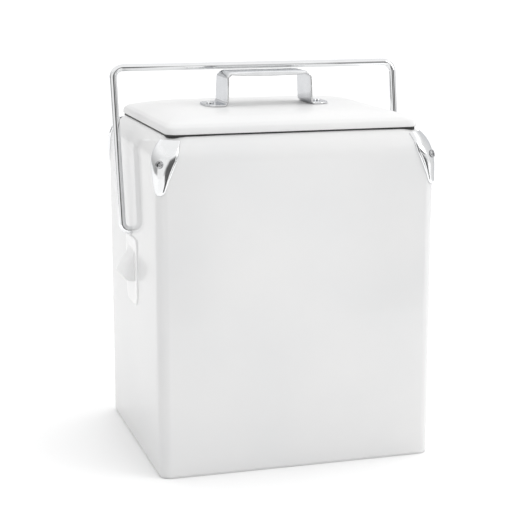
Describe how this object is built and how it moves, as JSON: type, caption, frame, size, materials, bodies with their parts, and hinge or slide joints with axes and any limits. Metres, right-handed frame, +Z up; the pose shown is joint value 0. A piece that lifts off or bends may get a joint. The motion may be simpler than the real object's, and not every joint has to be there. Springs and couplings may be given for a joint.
{
  "type": "picnic icebox",
  "caption": "Upright insulated steel picnic icebox with a lift-off crowned lid, strap handle, swinging rod bail, corner guards and a side bottle opener.",
  "frame": {"origin": "centre of the base pan's underside, on the surface the box stands on", "axes": "+Z up, -Y out of the front face, +X to the right seen from the front"},
  "size_m": [0.3329, 0.2664, 0.4181],
  "materials": {
    "white_paint": "gloss",
    "white_plastic": "satin",
    "chrome": "polished",
    "zinc_steel": "satin",
    "nylon": "satin",
    "seal_rubber": "matte",
    "foam": "matte"
  },
  "bodies": {
    "body": {"outer_shell": "white_paint", "base_pan": "white_paint", "tub_liner": "white_plastic", "tub_collar": "white_plastic", "body_foam": "foam", "corner_guard_front_left": "chrome", "corner_guard_front_right": "chrome", "corner_guard_rear_left": "chrome", "corner_guard_rear_right": "chrome", "guard_screws": "chrome", "bottle_opener": "white_paint", "opener_nuts": "zinc_steel", "pivot_plate_left": "zinc_steel", "pivot_plate_right": "zinc_steel", "pivot_bush_left": "nylon", "pivot_bush_right": "nylon"},
    "lid": {"lid_shell": "white_paint", "lid_foam": "foam", "lid_liner": "white_plastic", "lid_seal": "seal_rubber", "lid_handle": "chrome", "handle_screws": "chrome", "handle_nuts": "zinc_steel"},
    "bail": {"bail_rod": "chrome", "bail_clip_left": "zinc_steel", "bail_clip_right": "zinc_steel"}
  },
  "joints": [
    {"name": "lid_lift", "type": "slide", "parent": "body", "child": "lid", "axis": [0, 0, 1], "range_m": [0, 0.03]},
    {"name": "bail_swing", "type": "hinge", "parent": "body", "child": "bail", "pos_m": [0, 0, 0.241], "axis": [1, 0, 0], "range_deg": [-118.5, 138.5]}
  ]
}
